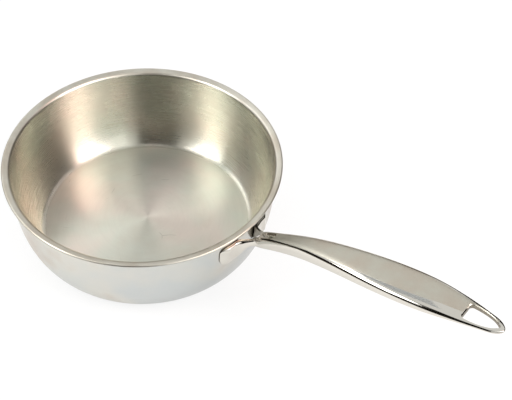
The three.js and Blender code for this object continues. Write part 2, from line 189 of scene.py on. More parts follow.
class PanBodySizes(bpy.types.PropertyGroup):
    """Sizes of the pressed clad body"""

    lip_radius: length("Lip Radius", "From the axis to the outermost edge of the lip", 115)
    height: length("Height", "From the surface that the pan stands on to the top of the lip", 77)
    lip_width: length("Lip Width", "From the wall's inside, below the lip, to the lip's edge", 7)
    wall_spread: length("Wall Spread", "From the floor's edge to the wall's inside, below the lip", 19.8)
    corner_radius: length("Corner Radius", "Inside corner between floor and wall", 6.5)
    bend_radius: length("Bend Radius", "Top face of the bend between wall and lip", 3.7)
    foot_lean: lean("Wall Foot Lean", "Of the wall from upright, above the corner", 41.9)
    head_lean: lean("Wall Head Lean", "Of the wall from upright, below the lip", 2.4)
    lip_slope: lean("Lip Slope", "Of the lip above level", 16)
    liner: length("Liner Thickness", "Inner steel layer", 0.5)
    core: length("Core Thickness", "Aluminium layer", 1.4)
    shell: length("Shell Thickness", "Outer steel layer", 0.5)
    sides: IntProperty(name="Sides", description="Faces round the body", default=192, min=24)


class HandleSizes(bpy.types.PropertyGroup):
    """Sizes of the cast handle"""

    length: length("Length", "From the lip to the tip", 205)
    rise: length("Rise", "Of the grip's widest line, from the neck's root to the tip", 60.3)
    width: length("Width", "Across the grip at its widest", 30.8)
    depth: length("Depth", "Of the grip at its thickest", 12.3)
    crown: FloatProperty(name="Crown Share", description="Of the depth, above the widest line", default=0.47)
    neck_lift: length("Neck Lift", "From the top of the pads to the widest line of the neck's root", 3.6)
    fork_depth: length("Fork Depth", "From the wall to the round end of the gap between the arms", 15.6)
    crotch_radius: length("Crotch Radius", "Of the gap's round end", 1.9)
    nose: length("Nose Length", "Over which the tip rounds off", 9)
    scoop_length: length("Scoop Length", "Of the hollow in the neck's top, behind the fork", 15)
    scoop_depth: length("Scoop Depth", "Of the hollow in the neck's top", 1.2)
    vault_height: length("Vault Height", "Of the hollow in the neck's underside, at the fork", 4.2)
    seat_gap: length("Seat Gap", "Between the wall and the pads, which the welds bridge", 0.3)
    pad_thickness: length("Pad Thickness", "Of the pads that lie against the wall", 2.9)
    pad_height: length("Pad Height", "Of the pads", 17.5)
    pad_span: length("Pad Span", "Across both pads, tip to tip", 59)
    pad_drop: length("Pad Drop", "From the top of the lip to the top of the pads", 10.8)
    hole_setback: length("Hole Setback", "From the tip back to the hang hole's straight side", 27.4)
    hole_length: length("Hole Length", "Of the hang hole along the handle", 24.4)
    hole_width: length("Hole Width", "Of the hang hole at its straight side", 13.8)
    hole_chamfer: length("Hole Chamfer", "Round both rims of the hang hole", 0.7)
    weld_diameter: length("Weld Diameter", "Of the spots that join the pads to the wall", 5)


class PanColours(bpy.types.PropertyGroup):
    """Colours of the steels and of the studio"""

    liner: colour("Liner Floor", "Brushed and worn stainless steel on the floor inside", "#d7d4c9")
    # The wall's colour is painted darker than the floor's, as shade on the same steel.
    wall: colour("Liner Wall", "Brushed stainless steel on the wall inside", "#cac7bb")
    lip: colour("Lip", "Polished stainless steel on the lip", "#cdc9bd")
    shell: colour("Shell", "Polished stainless steel outside", "#c9c8c1")
    satin: colour("Satin Face", "Satin top face of the handle", "#c7c4b7")
    polish: colour("Polished Handle", "Polished sides, fork and pads of the handle", "#cfccc4")
    # The hang hole's colour is painted dark, for the shade inside the hole, on top of its ground finish.
    hole: colour("Hang Hole", "Ground steel inside the hang hole", "#928c80")
    core: colour("Core", "Rolled aluminium between the steels", "#d3d3d4")
    weld: colour("Weld", "Heat-dulled weld metal", "#a5a19a")
    floor: colour("Floor", "Painted studio floor", "#ececeb")


def curve_point(rows, share):
    """A point on a smooth curve through evenly shared rows, as three.js draws a SplineCurve."""
    place = max(0, min(share, 1)) * (len(rows) - 1)
    start = min(int(place), len(rows) - 2)
    t = place - start
    before = rows[max(start - 1, 0)]
    first = rows[start]
    second = rows[start + 1]
    after = rows[min(start + 2, len(rows) - 1)]
    point = []
    for a, b, c, d in zip(before, first, second, after):
        leave = (c - a) / 2
        arrive = (d - b) / 2
        cubic = 2 * b - 2 * c + leave + arrive
        square = 3 * c - 3 * b - 2 * leave - arrive
        point.append(cubic * t ** 3 + square * t * t + leave * t + b)
    return point


def satin_reach(share, side):
    """How far the satin face reaches to a side, 1 for near and 2 for far, read straight off its rows."""
    for low, high in zip(SATIN_SHARES, SATIN_SHARES[1:]):
        if share <= high[0]:
            return low[side] + (high[side] - low[side]) * (share - low[0]) / (high[0] - low[0])
    return SATIN_SHARES[-1][side]


class Sheet:
    """The clad sheet's profile, as stations of (radius, height, direction through the sheet)."""

    def __init__(self, sizes):
        self.sizes = sizes
        self.thickness = sizes.liner + sizes.core + sizes.shell
        self.wall_radius = sizes.lip_radius - sizes.lip_width
        self.floor_radius = self.wall_radius - sizes.wall_spread
        self.stations = self.floor_and_corner()
        bend = self.bend_and_lip()
        self.stations += self.wall(self.stations[-1], bend[0]) + bend

    def station(self, radius, height, heading):
        return (Vector((radius, height)), Vector((math.sin(heading), -math.cos(heading))), heading)

    def floor_and_corner(self):
        rings = 10
        stations = []
        for ring in range(rings):
            stations.append(self.station(self.floor_radius * ring / rings, self.thickness, 0))
        steps = 10
        for step in range(steps + 1):
            heading = (math.pi / 2 - self.sizes.foot_lean) * step / steps
            radius = self.floor_radius + self.sizes.corner_radius * math.sin(heading)
            height = self.thickness + self.sizes.corner_radius * (1 - math.cos(heading))
            stations.append(self.station(radius, height, heading))
        return stations

    def wall(self, foot, head):
        pull = (head[0] - foot[0]).length / 3
        points = [
            foot[0],
            foot[0] + pull * Vector((math.cos(foot[2]), math.sin(foot[2]))),
            head[0] - pull * Vector((math.cos(head[2]), math.sin(head[2]))),
            head[0],
        ]
        stations = []
        steps = 28
        for step in range(1, steps):
            t = step / steps
            near = [points[i].lerp(points[i + 1], t) for i in range(3)]
            far = [near[i].lerp(near[i + 1], t) for i in range(2)]
            place = far[0].lerp(far[1], t)
            tangent = far[1] - far[0]
            stations.append(self.station(place.x, place.y, math.atan2(tangent.y, tangent.x)))
        return stations

    def bend_and_lip(self):
        sizes = self.sizes
        start = math.pi / 2 - sizes.head_lean
        edge = self.thickness / 2
        lip_end = self.station(
            sizes.lip_radius - edge * (1 + math.sin(sizes.lip_slope)),
            sizes.height - edge * (1 - math.cos(sizes.lip_slope)),
            sizes.lip_slope,
        )

        def bend_point(heading):
            return sizes.bend_radius * Vector(
                (math.sin(start) - math.sin(heading), math.cos(heading) - math.cos(start))
            )

        bend_size = bend_point(sizes.lip_slope)
        lip_width = lip_end[0].x - self.wall_radius - bend_size.x
        wall_head = lip_end[0].y - lip_width * math.tan(sizes.lip_slope) - bend_size.y
        stations = []
        steps = 12
        for step in range(steps + 1):
            heading = start + (sizes.lip_slope - start) * step / steps
            place = bend_point(heading)
            stations.append(self.station(self.wall_radius + place.x, wall_head + place.y, heading))
        return stations + [lip_end]

    def layer(self, depth):
        """A line at a depth below the sheet's inner face, from the axis to the end of the core."""
        return [point + depth * outward for point, outward, heading in self.stations[:-1]]

    def rim(self, start, end):
        """Part of the lip's half-round edge, from angles over its top to its underside."""
        point, outward, heading = self.stations[-1]
        centre = point + outward * self.thickness / 2
        steps = 7
        line = []
        for step in range(steps + 1):
            angle = heading + math.pi / 2 - (start + (end - start) * step / steps)
            line.append(centre + self.thickness / 2 * Vector((math.cos(angle), math.sin(angle))))
        return line

    def seam(self, depth):
        point, outward, heading = self.stations[-2]
        return point + depth * outward

    def outside(self, height):
        """The radius of the wall's outside at a height."""
        line = [point + self.thickness * outward for point, outward, heading in self.stations]
        for low, high in zip(line, line[1:]):
            if low.y <= height <= high.y:
                return low.x + (high.x - low.x) * (height - low.y) / (high.y - low.y)
        return line[-1].x


def mesh_object(name, bm, smooth_angle):
    """Makes an object from a bmesh, shaded smooth but for edges sharper than an angle in degrees."""
    bmesh.ops.recalc_face_normals(bm, faces=bm.faces)
    mesh = bpy.data.meshes.new(name)
    bm.to_mesh(mesh)
    bm.free()
    mesh.shade_smooth()
    mesh.set_sharp_from_angle(angle=math.radians(smooth_angle))
    piece = bpy.data.objects.new(name, mesh)
    bpy.context.scene.collection.objects.link(piece)
    return piece


def turned(name, outline, sides):
    """Turns a (radius, height) outline, which starts and ends on the axis, round the pan's axis."""
    bm = bmesh.new()
    first = bm.verts.new((0, 0, outline[0].y))
    last = bm.verts.new((0, 0, outline[-1].y))
    angles = [2 * math.pi * side / sides for side in range(sides)]
    rings = [
        [bm.verts.new((point.x * math.cos(angle), point.x * math.sin(angle), point.y)) for angle in angles]
        for point in outline[1:-1]
    ]
    for side in range(sides):
        following = (side + 1) % sides
        bm.faces.new((first, rings[0][side], rings[0][following]))
        bm.faces.new((last, rings[-1][following], rings[-1][side]))
        for low, high in zip(rings, rings[1:]):
            bm.faces.new((low[side], low[following], high[following], high[side]))
    return mesh_object(name, bm, 40)


class Handle:
    """The cast handle's centre line, sections and cage."""

    def __init__(self, sizes, body):
        self.sizes = sizes
        self.sheet = Sheet(body)
        self.lip_top = body.height
        self.pad_top = body.height - sizes.pad_drop
        self.wall = self.sheet.wall_radius + self.sheet.thickness
        self.reach = body.lip_radius + sizes.length
        self.root = self.wall + sizes.fork_depth - sizes.crotch_radius
        self.grip_length = self.reach - self.root

    def grip_station(self, share):
        """The grip at a share of its curve: its centre, tangent, upright, half width and depth."""
        along, rise, width, depth = curve_point(GRIP_SHARES, share)[:4]
        small = 0.001
        before = curve_point(GRIP_SHARES, share - small)
        after = curve_point(GRIP_SHARES, share + small)
        tangent = Vector(
            ((after[0] - before[0]) * self.grip_length, 0, (after[1] - before[1]) * self.sizes.rise)
        ).normalized()
        height = self.pad_top + self.sizes.neck_lift + rise * self.sizes.rise
        centre = Vector((self.root + along * self.grip_length, 0, height))
        upward = Vector((-tangent.z, 0, tangent.x))
        return centre, tangent, upward, self.sizes.width / 2 * width, self.sizes.depth * depth

    def share_at(self, reach):
        low, high = 0.0, 1.0
        for _ in range(30):
            middle = (low + high) / 2
            if self.grip_station(middle)[0].x < reach:
                low = middle
            else:
                high = middle
        return low

    def grip_ring(self, share):
        """One ring of the cage round the grip, from the left widest point over the top and back."""
        centre, tangent, upward, half_width, depth = self.grip_station(share)
        into_nose = max(0, (centre.x + self.sizes.nose - self.reach) / self.sizes.nose)
        rounding = math.sqrt(max(0, 1 - into_nose ** 2))
        sag = curve_point(GRIP_SHARES, share)[4] * depth
        ring = []
        for across, up in GRIP_SECTION:
            height = depth * (self.sizes.crown if up > 0 else 1 - self.sizes.crown)
            # The high power keeps the sag to the outermost edge of the sides.
            lift = (up * height - sag * across ** 8) * math.sqrt(rounding)
            ring.append(centre + upward * lift + Vector((0, across * half_width * rounding, 0)))
        return self.hollowed(ring)

    def hollowed(self, ring):
        """Sinks the neck's top into the scoop and lifts its underside into the fork's vault."""
        start = self.root + self.sizes.crotch_radius
        into = (ring[0].x - start) / self.sizes.scoop_length
        fade = max(0, 1 - into ** 2) if into > 0 else 1
        for place, share in ((0, 1), (1, 0.8), (2, 0.4)):
            ring[place].z -= self.sizes.scoop_depth * share * fade
        vault = max(0, 1 - into * 1.5) ** 2
        for place, share in ((10, 1), (9, 0.75), (8, 0.3)):
            ring[place].z += self.sizes.vault_height * share * vault
        return ring

    def arm_ring(self, row):
        """One ring of the cage round an arm, from its inner bottom edge up and over to its outer face."""
        values = [value * MM for value in row]
        inner = Vector(values[0:2])
        outer = Vector(values[2:4])
        edges = [self.lip_top - value for value in values[4:]]
        ring = []
        for across, first, second, share in ARM_SECTION:
            plan = inner.lerp(outer, across)
            ring.append(Vector((plan.x, plan.y, edges[first] + (edges[second] - edges[first]) * share)))
        return ring

    def pad_ring(self, row):
        """One ring of the cage round a pad, which follows the wall's curve and its lean."""
        back, front, height_share, thickness_share, cut = row
        half_span = self.sizes.pad_span / 2
        middle = self.pad_top - self.sizes.pad_height / 2
        half_height = self.sizes.pad_height / 2 * height_share
        thickness = self.sizes.pad_thickness * thickness_share
        ring = []
        for through, up in PAD_SECTION:
            height = middle + half_height * up
            # The cut grows from nothing just below the pad's middle to its whole depth just above it.
            through *= 1 - cut * max(0, min(1, (up + 0.3) / 0.5))
            radius = self.sheet.outside(height) + self.sizes.seat_gap + thickness * through
            across = (back + (front - back) * through) * half_span
            reach = self.wall + self.sizes.seat_gap + self.sizes.pad_thickness * through
            turn = math.asin(across / reach)
            ring.append(Vector((radius * math.cos(turn), radius * math.sin(turn), height)))
        return ring


def add_ring(bm, points):
    return [bm.verts.new(point) for point in points]


def bridge(bm, first, second, closed=True):
    count = len(first)
    for side in range(count if closed else count - 1):
        following = (side + 1) % count
        bm.faces.new((first[side], first[following], second[following], second[side]))


def mirror_point(point):
    return Vector((point.x, -point.y, point.z))


def handle_cage(handle):
    """The whole handle as one cage of quads: a grip that splits into two arms, each ending in a pad."""
    bm = bmesh.new()
    crease = bm.edges.layers.float.new("crease_edge")
    start = handle.share_at(handle.root + handle.sizes.crotch_radius)
    steps = 26
    # The rings crowd towards the nose, and the last one stops a little before its end.
    shares = [start + (1 - start) * math.sin(math.pi / 2 * step / steps) for step in range(steps)]
    shares.append(1 - (1 - shares[-1]) * 0.25)
    rings = []
    for share in shares:
        half = handle.grip_ring(share)
        rings.append(add_ring(bm, half + [mirror_point(point) for point in half[-2:0:-1]]))
    for first, second in zip(rings, rings[1:]):
        bridge(bm, first, second)

    # The nose is closed with a strip from its top half to its belly.
    nose = rings[-1]
    side = len(nose) // 4
    top = [nose[place] for place in range(side, -side - 1, -1)]
    belly = nose[side:3 * side + 1]
    for place in range(2 * side):
        corners = [top[place], top[place + 1], belly[place + 1], belly[place]]
        bm.faces.new(list(dict.fromkeys(corners)))

    # Two upright points in the crotch complete the split ring for both arms.
    top_middle = rings[0][0]
    belly_middle = rings[0][10]
    column = add_ring(bm, [belly_middle.co.lerp(top_middle.co, share) for share in (0.33, 0.67)])
    for side in (1, -1):
        outline = rings[0][1:10] if side == 1 else rings[0][:10:-1]
        previous = [belly_middle, *column, top_middle, *outline]
        arm = [handle.arm_ring(row) for row in ARM_ROWS] + [handle.pad_ring(row) for row in PAD_SHARES]
        for points in arm:
            ring = add_ring(bm, points if side == 1 else [mirror_point(point) for point in points])
            bridge(bm, previous, ring)
            for place, sharpness in ((0, 0.75), (3, 0.6)):
                edge = bm.edges.get((previous[place], ring[place]))
                edge[crease] = sharpness
            previous = ring
        bm.faces.new(previous)
    return bm


def hole_outline(sizes, grow):
    """The hang hole seen from above: square to the grip at one end and round at the tip's end."""
    half = sizes.hole_width / 2
    corner = 2.4 * MM
    tip = 2 * MM
    reach = sizes.hole_length
    curves = [
        [(0, corner - half), (0, -half), (corner, -half)],
        [(corner, -half), (reach / 3, -half), (reach - 3 * tip, -3 * tip), (reach - tip, -tip)],
        [(reach - tip, -tip), (reach, -tip / 2), (reach, 0)],
    ]
    points = []
    for curve in curves:
        corners = [Vector(place) for place in curve]
        steps = 10 if len(curve) == 3 else 24
        for step in range(steps):
            line = corners
            while len(line) > 1:
                line = [a.lerp(b, step / steps) for a, b in zip(line, line[1:])]
            points.append(line[0])
    points = points + [Vector((reach, 0))] + [Vector((p.x, -p.y)) for p in reversed(points)]
    grown = []
    for before, point, after in zip(points[-1:] + points[:-1], points, points[1:] + points[:1]):
        along = (after - before).normalized()
        grown.append(point + grow * Vector((along.y, -along.x)))
    return grown


def hole_cutter(handle):
    """A prism through the hang hole that opens out round both rims."""
    sizes = handle.sizes
    middle = handle.share_at(handle.reach - sizes.hole_setback + sizes.hole_length / 2)
    centre, tangent, upward, half_width, depth = handle.grip_station(middle)
    start = centre - tangent * sizes.hole_length / 2 / tangent.x
    crown = depth * sizes.crown
    belly = depth * (1 - sizes.crown)
    chamfer = sizes.hole_chamfer
    layers = [
        (-3 * belly, 2.5 * chamfer),
        (-belly, chamfer),
        (chamfer - belly, 0),
        (crown - chamfer, 0),
        (crown, chamfer),
        (3 * crown, 2.5 * chamfer),
    ]
    bm = bmesh.new()
    rings = []
    for height, grow in layers:
        ring = []
        for place in hole_outline(sizes, grow):
            ring.append(start + tangent * place.x + Vector((0, place.y, 0)) + upward * height)
        rings.append(add_ring(bm, ring))
    for first, second in zip(rings, rings[1:]):
        bridge(bm, first, second)
    bm.faces.new(rings[0])
    bm.faces.new(rings[-1])
    return mesh_object("hang_hole_cutter", bm, 30)


def applied(piece, name):
    """The piece's mesh with its modifiers applied, in a new object of that name."""
    bpy.context.view_layer.update()
    evaluated = piece.evaluated_get(bpy.context.evaluated_depsgraph_get())
    mesh = bpy.data.meshes.new_from_object(evaluated)
    mesh.name = name
    made = bpy.data.objects.new(name, mesh)
    bpy.context.scene.collection.objects.link(made)
    bpy.data.objects.remove(piece)
    return made


def mark_satin(handle, mesh):
    """Stores how deep each point lies inside the satin face, in metres, and below zero outside it."""
    sizes = handle.sizes
    depths = mesh.attributes.new("satin_depth", "FLOAT", "POINT")
    shares = [step / 200 for step in range(201)]
    stations = [(share, *handle.grip_station(share)) for share in shares]
    near_end = handle.reach - sizes.hole_setback - 0.4 * MM
    far_end = handle.reach - 6 * MM
    # The face starts in a curve that runs back along both sides of the scoop.
    middle_start = handle.root + sizes.crotch_radius + sizes.scoop_length - 3.5 * MM
    run_back = 6 * MM
    values = []
    for vertex in mesh.vertices:
        place = vertex.co
        share, centre, tangent, upward, half_width, depth = min(
            stations, key=lambda row: abs((place - row[1]).dot(row[2]))
        )
        across = abs(place.y)
        up = (place - centre).dot(upward)
        bow = min(across / run_back, 1.2)
        is_near = place.y < 0
        inside = min(
            satin_reach(share, 1 if is_near else 2) * half_width - across,
            (near_end if is_near else far_end) - place.x,
            place.x - middle_start + run_back * bow * bow,
            up - 0.2 * depth,
        )
        values.append(inside)
    depths.data.foreach_set("value", values)


def add_node(tree, kind, inputs=None, stops=None, **settings):
    """Adds a node with its settings; an input takes a value or another node's output."""
    node = tree.nodes.new("ShaderNode" + kind)
    for name, value in settings.items():
        setattr(node, name, value)
    for name, value in (inputs or {}).items():
        if isinstance(value, bpy.types.NodeSocket):
            tree.links.new(value, node.inputs[name])
        else:
            node.inputs[name].default_value = value
    for number, (place, shade) in enumerate(stops or []):
        element = node.color_ramp.elements[number] if number < 2 else node.color_ramp.elements.new(place)
        element.position = place
        element.color = shade
    return node


def new_material(name):
    material = bpy.data.materials.new(name)
    material.use_nodes = True
    tree = material.node_tree
    tree.nodes.clear()
    return material, tree


def finish_metal(tree, tone, roughness, heights, relief, depth, anisotropy=0):
    """Metal with a relief of a depth in millimetres; its highlights can be drawn out across the rings."""
    bump = add_node(tree, "Bump", {"Strength": relief, "Distance": depth * MM, "Height": heights})
    inputs = {"Base Color": tone, "Metallic": 1, "Roughness": roughness, "Normal": bump.outputs[0]}
    if anisotropy:
        tangent = add_node(tree, "Tangent", direction_type="RADIAL", axis="Z")
        quarter_turn = 0.25
        inputs["Anisotropic"] = anisotropy
        inputs["Anisotropic Rotation"] = quarter_turn
        inputs["Tangent"] = tangent.outputs[0]
    shader = add_node(tree, "BsdfPrincipled", inputs)
    add_node(tree, "OutputMaterial", {"Surface": shader.outputs[0]})


def ring_coordinates(tree):
    """The place, its direction from the axis, and how far it lies across the turned grain in millimetres."""
    place = add_node(tree, "TexCoord").outputs["Object"]
    parts = add_node(tree, "SeparateXYZ", {0: place})
    flat = add_node(tree, "CombineXYZ", {0: parts.outputs["X"], 1: parts.outputs["Y"]})
    radius = add_node(tree, "VectorMath", {0: flat.outputs[0]}, operation="LENGTH").outputs["Value"]
    heading = add_node(tree, "VectorMath", {0: flat.outputs[0]}, operation="NORMALIZE").outputs["Vector"]
    across = add_node(tree, "Math", {0: radius, 1: parts.outputs["Z"]}, operation="ADD").outputs[0]
    across = add_node(tree, "Math", {0: across, 1: 1 / MM}, operation="MULTIPLY").outputs[0]
    return place, heading, across


def grain(tree, heading, across, spacing, turns):
    """Noise drawn out round the pan, with lines about a spacing in millimetres apart."""
    scaled = add_node(tree, "VectorMath", {0: heading, "Scale": turns}, operation="SCALE").outputs[0]
    line = add_node(tree, "Math", {0: across, 1: 1 / spacing}, operation="MULTIPLY").outputs[0]
    lift = add_node(tree, "CombineXYZ", {2: line}).outputs[0]
    vector = add_node(tree, "VectorMath", {0: scaled, 1: lift}, operation="ADD").outputs[0]
    noise = add_node(tree, "TexNoise", {"Vector": vector, "Scale": 1, "Detail": 3, "Roughness": 0.6})
    return noise.outputs["Fac"]


def scratches(tree, place):
    """Short thin scratches: pieces of a cell pattern's edges, some 35 mm apart and 0.3 mm wide."""
    warp = add_node(tree, "TexNoise", {"Vector": place, "Scale": 30, "Detail": 2})
    sway = (12 * MM, 12 * MM, 12 * MM)
    bent = add_node(
        tree, "VectorMath", {0: warp.outputs["Color"], 1: sway, 2: place}, operation="MULTIPLY_ADD"
    )
    cells = add_node(
        tree, "TexVoronoi", {"Vector": bent.outputs[0], "Scale": 28},
        feature="DISTANCE_TO_EDGE", voronoi_dimensions="2D",
    )
    line = add_node(tree, "MapRange", {0: cells.outputs["Distance"], 1: 0.002, 2: 0.006, 3: 1, 4: 0})
    places = add_node(tree, "TexNoise", {"Vector": place, "Scale": 55, "Detail": 1})
    shown = add_node(tree, "MapRange", {0: places.outputs["Fac"], 1: 0.62, 2: 0.68})
    return add_node(tree, "Math", {0: line.outputs[0], 1: shown.outputs[0]}, operation="MULTIPLY").outputs[0]


def brushed_in_rings(name, tones, low, high, anisotropy, wear, relief):
    """Steel brushed while turning, with a roughness between low and high and a drawn-out highlight."""
    material, tree = new_material(name)
    place, heading, across = ring_coordinates(tree)
    # Grinding lines are some 0.1 mm apart, too fine to show, so they are drawn 0.45 mm and 2.2 mm apart.
    fine = grain(tree, heading, across, 0.45, 3)
    coarse = grain(tree, heading, across, 2.2, 1.6)
    stain = add_node(tree, "TexNoise", {"Vector": place, "Scale": 26, "Detail": 4, "Roughness": 0.6})
    cut = scratches(tree, place)
    smooth = add_node(tree, "MapRange", {0: fine, 1: 0.3, 2: 0.7, 3: low, 4: high})
    dull = add_node(tree, "MapRange", {0: stain.outputs["Fac"], 1: 0.4, 2: 0.7, 3: -0.015, 4: 0.03})
    roughness = add_node(tree, "Math", {0: smooth.outputs[0], 1: dull.outputs[0]}, operation="ADD")
    tone = add_node(tree, "ValToRGB", {0: coarse}, stops=[(0.25, tones[0]), (0.6, tones[1])])
    # Cooking has tinted the steel unevenly, from rosy to greenish.
    haze = add_node(tree, "TexNoise", {"Vector": place, "Scale": 15, "Detail": 3, "Roughness": 0.5})
    tints = [(0.4, linear("#d8c6bb")), (0.58, linear("#c3c9bb"))]
    tint = add_node(tree, "ValToRGB", {0: haze.outputs["Fac"]}, stops=tints)
    tinted = add_node(tree, "Mix", {0: 0.45, 6: tone.outputs[0], 7: tint.outputs[0]}, data_type="RGBA")
    share = add_node(tree, "MapRange", {0: stain.outputs["Fac"], 1: 0.46, 2: 0.72, 3: 0, 4: 0.5})
    blotch = add_node(
        tree, "Mix", {0: share.outputs[0], 6: tinted.outputs[2], 7: linear("#c6beb0")}, data_type="RGBA"
    )
    mark = add_node(tree, "Math", {0: cut, 1: wear}, operation="MULTIPLY")
    worn = add_node(
        tree, "Mix", {0: mark.outputs[0], 6: blotch.outputs[2], 7: linear("#6d675c")}, data_type="RGBA"
    )
    heights = add_node(tree, "Math", {0: coarse, 1: 0.6, 2: fine}, operation="MULTIPLY_ADD")
    finish_metal(
        tree, worn.outputs[2], roughness.outputs[0], heights.outputs[0], relief, 0.05, anisotropy
    )
    return material


def brushed_wall_with_painted_shade(colours):
    """Stainless steel, brushed while turning: fine rings draw every highlight out into upright streaks; its
    tones are painted darker than the floor's, as shade on the wall.
    """
    tones = linear("#c4c0b3"), list(colours.wall)
    return brushed_in_rings("stainless steel, brushed in rings", tones, 0.25, 0.31, 1, 0.15, 0.09)


def brushed_floor(colours):
    """The same steel on the floor, where use has dulled the rings, so its highlights are softer."""
    tones = linear("#d2cec4"), list(colours.liner)
    return brushed_in_rings("stainless steel, brushed and worn", tones, 0.36, 0.43, 0.68, 0.5, 0.03)


def polished_in_rings(name, spacing, turns, cloud_scale, stops, roughness, anisotropy, relief):
    """Steel polished while turning: faint lines a spacing in millimetres apart, and a cloudy tone."""
    # The real lines are some 0.05 mm apart, too fine to show, so the spacings are about ten times that.
    material, tree = new_material(name)
    place, heading, across = ring_coordinates(tree)
    fine = grain(tree, heading, across, spacing, turns)
    cloud = add_node(
        tree, "TexNoise", {"Vector": place, "Scale": cloud_scale, "Detail": 3, "Roughness": 0.5}
    )
    tone = add_node(tree, "ValToRGB", {0: cloud.outputs["Fac"]}, stops=stops)
    rough = add_node(tree, "MapRange", {0: fine, 1: 0.3, 2: 0.7, 3: roughness[0], 4: roughness[1]})
    finish_metal(tree, tone.outputs[0], rough.outputs[0], fine, relief, 0.03, anisotropy)
    return material


def polished_lip(colours):
    """Stainless steel, polished smooth on the lip: light and even, with only faint turning lines."""
    stops = [(0.35, linear("#bfb7a9")), (0.6, list(colours.lip))]
    return polished_in_rings("stainless steel, polished lip", 0.5, 2, 40, stops, (0.3, 0.4), 0, 0.06)


def polished_shell(colours):
    """Stainless steel, polished in rings: it mirrors the room, a little blurred and blotchy."""
    stops = [(0.38, linear("#c0b6aa")), (0.5, list(colours.shell)), (0.66, linear("#bfc3c2"))]
    return polished_in_rings("stainless steel, polished", 0.6, 3, 16, stops, (0.2, 0.27), 0.5, 0.08)


def cast_steel(colours):
    """Investment-cast stainless steel: mirror polished all round, with a satin face along the top."""
    material, tree = new_material("cast stainless steel, polished and satin")
    place = add_node(tree, "TexCoord").outputs["Object"]
    depth = add_node(tree, "Attribute", attribute_name="satin_depth").outputs["Fac"]
    satin = add_node(tree, "MapRange", {0: depth, 1: -0.15 * MM, 2: 0.15 * MM}).outputs[0]
    # The satin grain is some 0.1 mm wide, too fine to show, so it is drawn 0.5 mm wide.
    drawn = add_node(tree, "Mapping", {"Vector": place, "Scale": (60, 2000, 60)}).outputs[0]
    brushing = add_node(tree, "TexNoise", {"Vector": drawn, "Scale": 1, "Detail": 3, "Roughness": 0.6})
    cloud = add_node(tree, "TexNoise", {"Vector": place, "Scale": 60, "Detail": 3, "Roughness": 0.5})
    satin_rough = add_node(tree, "MapRange", {0: brushing.outputs["Fac"], 1: 0.3, 2: 0.7, 3: 0.33, 4: 0.42})
    polish_rough = add_node(tree, "MapRange", {0: cloud.outputs["Fac"], 1: 0.3, 2: 0.7, 3: 0.06, 4: 0.1})
    roughness = add_node(tree, "Mix", {0: satin, 2: polish_rough.outputs[0], 3: satin_rough.outputs[0]})
    face_tones = [(0.35, linear("#c4bcae")), (0.6, list(colours.satin))]
    face = add_node(tree, "ValToRGB", {0: cloud.outputs["Fac"]}, stops=face_tones)
    # Painted shade: the polished tone is painted darker where nearby surfaces hem it in, in the fork's
    # corners and along the pads.
    shade_in_corners = add_node(tree, "AmbientOcclusion", {"Distance": 14 * MM}, samples=8).outputs["AO"]
    painted_shade_tones = [(0.3, linear("#7d7468")), (0.8, list(colours.polish))]
    corner = add_node(tree, "ValToRGB", {0: shade_in_corners}, stops=painted_shade_tones)
    tone = add_node(tree, "Mix", {0: satin, 6: corner.outputs[0], 7: face.outputs[0]}, data_type="RGBA")
    relief = add_node(tree, "Math", {0: satin, 1: 0.12}, operation="MULTIPLY").outputs[0]
    finish_metal(tree, tone.outputs[2], roughness.outputs[0], brushing.outputs["Fac"], relief, 0.04)
    return material


def plain_metal(name, spread, tones, roughness, relief):
    """Unpolished metal: one noise, drawn out by its spread, moves the tone, the roughness and the relief."""
    material, tree = new_material(name)
    place = add_node(tree, "TexCoord").outputs["Object"]
    drawn = add_node(tree, "Mapping", {"Vector": place, "Scale": spread}).outputs[0]
    marks = add_node(tree, "TexNoise", {"Vector": drawn, "Scale": 1, "Detail": 2}).outputs["Fac"]
    tone = add_node(tree, "ValToRGB", {0: marks}, stops=[(0.3, tones[0]), (0.65, tones[1])])
    rough = add_node(tree, "MapRange", {0: marks, 1: 0.3, 2: 0.7, 3: roughness[0], 4: roughness[1]})
    finish_metal(tree, tone.outputs[0], rough.outputs[0], marks, relief, 0.05)
    return material


def ground_hole_with_painted_shade(colours):
    """Cast stainless steel, ground inside the hang hole: dull, with upright grinding marks, and painted dark
    for the shade inside the hole.
    """
    # The real marks are some 0.1 mm wide, too fine to show, so they are drawn 0.7 mm wide.
    # Both tones are painted dark, as shade inside the hole; the dullness of the grinding is real.
    tones = linear("#7c766b"), list(colours.hole)
    return plain_metal("cast stainless steel, ground hole", (1400, 1400, 120), tones, (0.4, 0.44), 0.3)


def rolled_aluminium(colours):
    """Rolled aluminium sheet: a dull grey metal with faint lines, seen only if the body is cut."""
    # Rolling lines are some 0.05 mm apart, too fine to show, so they are drawn 0.7 mm apart.
    tones = linear("#cbcbcc"), list(colours.core)
    return plain_metal("aluminium, rolled", (1500, 40, 40), tones, (0.4, 0.5), 0.06)


def weld_metal(colours):
    """Stainless weld metal: fused, dull and a little straw-coloured from the heat."""
    # The ripples are drawn about 1 mm wide, as on a real weld.
    tones = linear("#8f8468"), list(colours.weld)
    return plain_metal("stainless steel, welded", (900, 900, 900), tones, (0.4, 0.5), 0.8)


